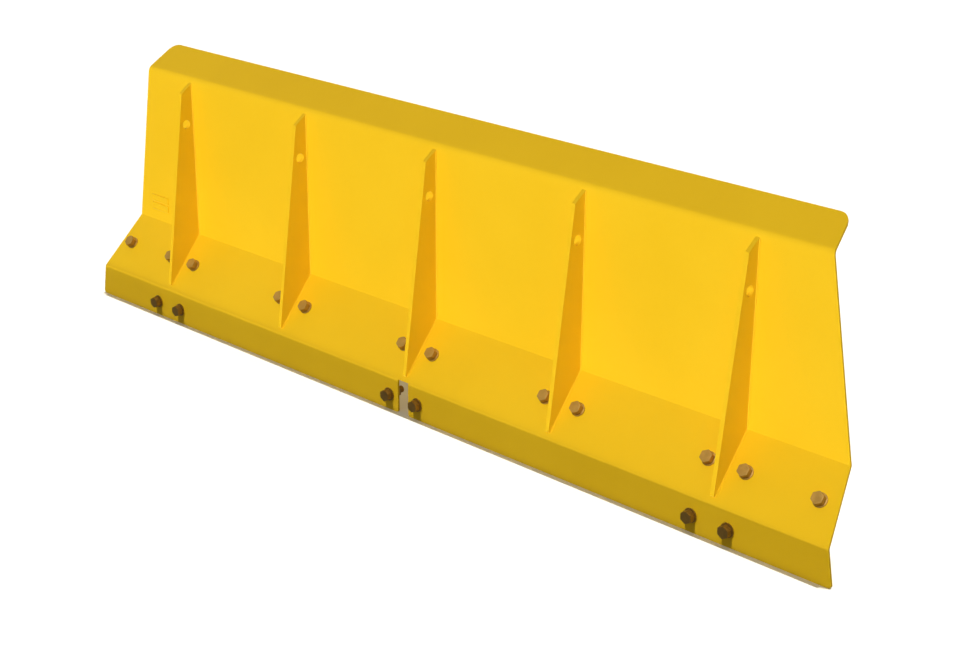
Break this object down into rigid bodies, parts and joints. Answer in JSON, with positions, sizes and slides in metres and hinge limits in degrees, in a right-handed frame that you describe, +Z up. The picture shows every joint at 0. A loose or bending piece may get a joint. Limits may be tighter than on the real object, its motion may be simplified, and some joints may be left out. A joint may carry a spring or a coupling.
{
  "type": "bolt-on barrier guard",
  "caption": "Yellow bent-plate guard with a jersey-barrier front, gusset ribs with eyes, and bolt sets through its slope and toe.",
  "frame": {"origin": "on the back face of the toe, mid-length, level with the toe bolts; the bottom edge is 46 mm below it", "axes": "+X along the guard, to the right seen from the front; -Y out of the front, towards the ribs and bolt heads; +Z up"},
  "size_m": [2.7964, 0.2447, 0.8154],
  "materials": {
    "yellow_paint": "satin safety-yellow paint over steel plate",
    "bronze_bolts": "bronze-brown coated steel"
  },
  "bodies": {
    "root": {"guard_plate": "yellow_paint", "rib_1": "yellow_paint", "rib_2": "yellow_paint", "rib_3": "yellow_paint", "rib_4": "yellow_paint", "rib_5": "yellow_paint", "rib_1_welds": "yellow_paint", "rib_2_welds": "yellow_paint", "rib_3_welds": "yellow_paint", "rib_4_welds": "yellow_paint", "rib_5_welds": "yellow_paint", "marking_bar_upper": "yellow_paint", "marking_bar_lower": "yellow_paint", "slope_bolts": "bronze_bolts", "slope_head_washers": "bronze_bolts", "slope_nut_washers": "bronze_bolts", "slope_nuts": "bronze_bolts", "toe_bolts": "bronze_bolts", "toe_head_washers": "bronze_bolts", "toe_nut_washers": "bronze_bolts", "toe_nuts": "bronze_bolts"}
  },
  "joints": []
}
